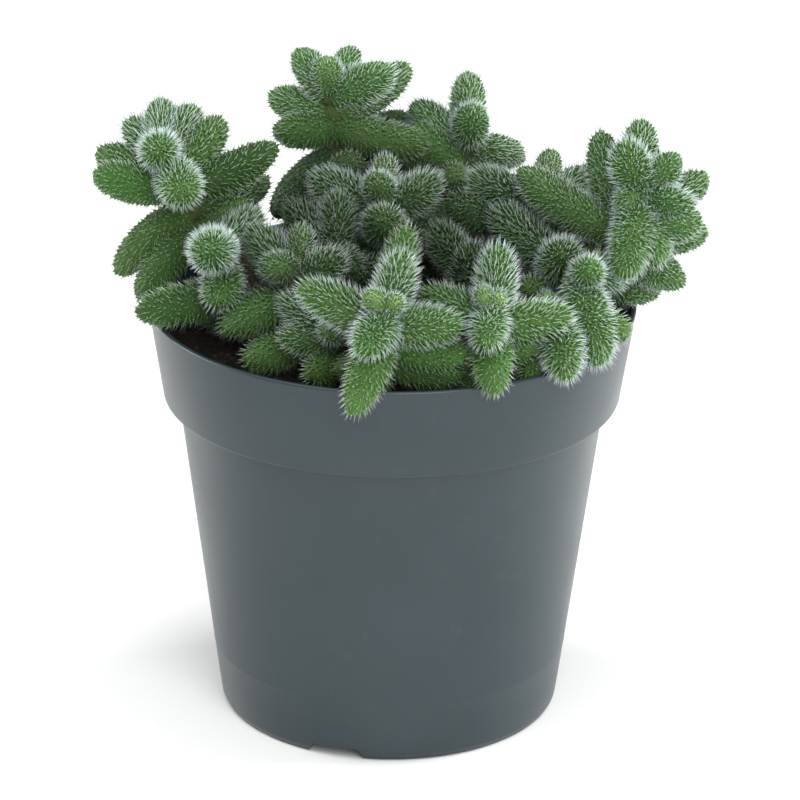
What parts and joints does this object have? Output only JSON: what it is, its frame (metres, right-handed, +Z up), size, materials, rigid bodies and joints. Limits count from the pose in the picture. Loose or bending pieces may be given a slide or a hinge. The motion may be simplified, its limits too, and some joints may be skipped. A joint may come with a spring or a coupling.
{
  "type": "potted succulent plant",
  "caption": "Small bristly succulent with plump gherkin-shaped leaves on branching stems, standing in soil in a round tapered nursery pot.",
  "frame": {"origin": "middle of the flat pad under the pot, on the surface that the pot stands on", "axes": "+Z up along the pot's axis, -Y towards the plant's front, +X to the right seen from the front"},
  "size_m": [0.1334, 0.1143, 0.1411],
  "materials": {
    "pot_plastic": "satin",
    "potting_soil": "matte",
    "leaf_green": "matte"
  },
  "bodies": {
    "root": {"pot": "pot_plastic", "soil": "potting_soil", "leafy_stem_back_right": "leaf_green", "leafy_stem_back_top": "leaf_green", "leafy_stem_centre": "leaf_green", "leafy_stem_centre_left": "leaf_green", "leafy_stem_front": "leaf_green", "leafy_stem_front_left": "leaf_green", "leafy_stem_front_right": "leaf_green", "leafy_stem_front_right_low": "leaf_green", "leafy_stem_left_front": "leaf_green", "leafy_stem_left_inner": "leaf_green", "leafy_stem_left_top": "leaf_green", "leafy_stem_low_back": "leaf_green", "leafy_stem_low_back_inner": "leaf_green", "leafy_stem_low_back_left": "leaf_green", "leafy_stem_low_back_right": "leaf_green", "leafy_stem_low_centre": "leaf_green", "leafy_stem_low_left": "leaf_green", "leafy_stem_low_right": "leaf_green", "leafy_stem_middle": "leaf_green", "leafy_stem_right_inner": "leaf_green", "leafy_stem_right_low": "leaf_green", "leafy_stem_right_middle": "leaf_green", "leafy_stem_right_top": "leaf_green"}
  },
  "joints": []
}
